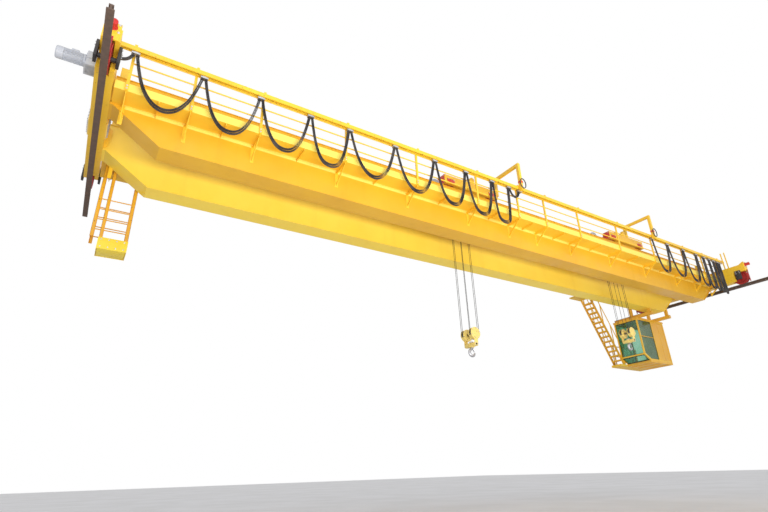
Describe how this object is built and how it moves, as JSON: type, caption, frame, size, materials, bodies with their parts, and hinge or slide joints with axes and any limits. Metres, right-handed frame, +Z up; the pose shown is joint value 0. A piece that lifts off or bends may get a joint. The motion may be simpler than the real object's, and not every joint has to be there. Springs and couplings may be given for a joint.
{
  "type": "overhead crane",
  "caption": "Double girder overhead travelling crane with twin crabs, hook blocks, walkways, cable festoons, operator's cab, stair and inspection cage.",
  "frame": {"origin": "middle of the underside of the left runway rail stretch, midway between the two girders", "axes": "+X along the girders from the left runway rail to the right one, +Y along the runway away from the festoon side, +Z up"},
  "size_m": [27.32, 8.2, 6.36],
  "materials": {
    "yellow_paint": "gloss enamel",
    "pale_yellow_paint": "gloss enamel",
    "rail_steel": "worn running surface",
    "red_paint": "gloss enamel",
    "motor_paint": "silver grey enamel",
    "cabinet_paint": "light grey powder coat",
    "rope_steel": "greased wire",
    "hook_steel": "bare forged steel",
    "buffer_rubber": "red rubber",
    "cable_rubber": "matte sheath",
    "carrier_steel": "zinc plated",
    "cab_glass": "green tinted"
  },
  "bodies": {
    "runway": {"runway_rails": "rail_steel"},
    "bridge": {"crab_rails": "rail_steel", "girder_near": "yellow_paint", "girder_far": "yellow_paint", "crab_stops": "yellow_paint", "end_carriage_left": "yellow_paint", "end_carriage_right": "yellow_paint", "walkway_near": "yellow_paint", "walkway_far": "yellow_paint", "walkway_brackets": "yellow_paint", "handrail_near": "yellow_paint", "handrail_far": "yellow_paint", "festoon_track": "yellow_paint", "cab_frame": "yellow_paint", "cab_panels": "yellow_paint", "cab_roof": "yellow_paint", "cab_floor": "yellow_paint", "cab_hangers": "yellow_paint", "cab_landing": "yellow_paint", "landing_handrail": "yellow_paint", "stair_stringers": "yellow_paint", "stair_treads": "yellow_paint", "stair_platform": "yellow_paint", "stair_handrails": "yellow_paint", "inspection_cage": "yellow_paint", "carriage_splices": "pale_yellow_paint", "bridge_wheels": "red_paint", "bridge_buffers": "buffer_rubber", "rail_guards": "red_paint", "carriage_end_posts": "yellow_paint", "travel_drives": "motor_paint", "festoon_carriers_left": "carrier_steel", "festoon_carriers_right": "carrier_steel", "festoon_cable_left": "cable_rubber", "festoon_cable_right": "cable_rubber", "electrical_cabinets": "cabinet_paint", "cab_glass": "cab_glass"},
    "crab_1": {"crab_1_frame": "yellow_paint", "crab_1_wheels": "red_paint", "crab_1_bumpers": "buffer_rubber", "crab_1_drum": "yellow_paint", "crab_1_hoist_drive": "motor_paint", "crab_1_travel_gear": "motor_paint", "crab_1_tow_arm": "yellow_paint", "hoist_1_ropes": "rope_steel"},
    "hook_block_1": {"hook_block_1": "yellow_paint"},
    "hook_1": {"hook_1": "hook_steel"},
    "crab_2": {"crab_2_frame": "yellow_paint", "crab_2_wheels": "red_paint", "crab_2_bumpers": "buffer_rubber", "crab_2_drum": "yellow_paint", "crab_2_hoist_drive": "motor_paint", "crab_2_travel_gear": "motor_paint", "crab_2_tow_arm": "yellow_paint", "hoist_2_ropes": "rope_steel"},
    "hook_block_2": {"hook_block_2": "yellow_paint"},
    "hook_2": {"hook_2": "hook_steel"}
  },
  "joints": [
    {"name": "bridge_travel", "type": "slide", "parent": "runway", "child": "bridge", "axis": [0, 1, 0], "range_m": [-1.2, 1.2]},
    {"name": "crab_1_travel", "type": "slide", "parent": "bridge", "child": "crab_1", "axis": [1, 0, 0], "range_m": [-8.9, 3], "deforming": ["festoon_cable_left", "festoon_carriers_left"]},
    {"name": "hoist_1", "type": "slide", "parent": "crab_1", "child": "hook_block_1", "axis": [0, 0, 1], "range_m": [-4.4, 3.35], "deforming": ["hoist_1_ropes"]},
    {"name": "hook_1_swivel", "type": "hinge", "parent": "hook_block_1", "child": "hook_1", "pos_m": [11, 0, -3.64], "axis": [0, 0, 1], "continuous": true},
    {"name": "crab_2_travel", "type": "slide", "parent": "bridge", "child": "crab_2", "axis": [1, 0, 0], "range_m": [-2.7, 4], "deforming": ["festoon_cable_right", "festoon_carriers_right"]},
    {"name": "hoist_2", "type": "slide", "parent": "crab_2", "child": "hook_block_2", "axis": [0, 0, 1], "range_m": [-5.4, 2.3], "deforming": ["hoist_2_ropes"]},
    {"name": "hook_2_swivel", "type": "hinge", "parent": "hook_block_2", "child": "hook_2", "pos_m": [19.55, 0, -2.59], "axis": [0, 0, 1], "continuous": true}
  ]
}
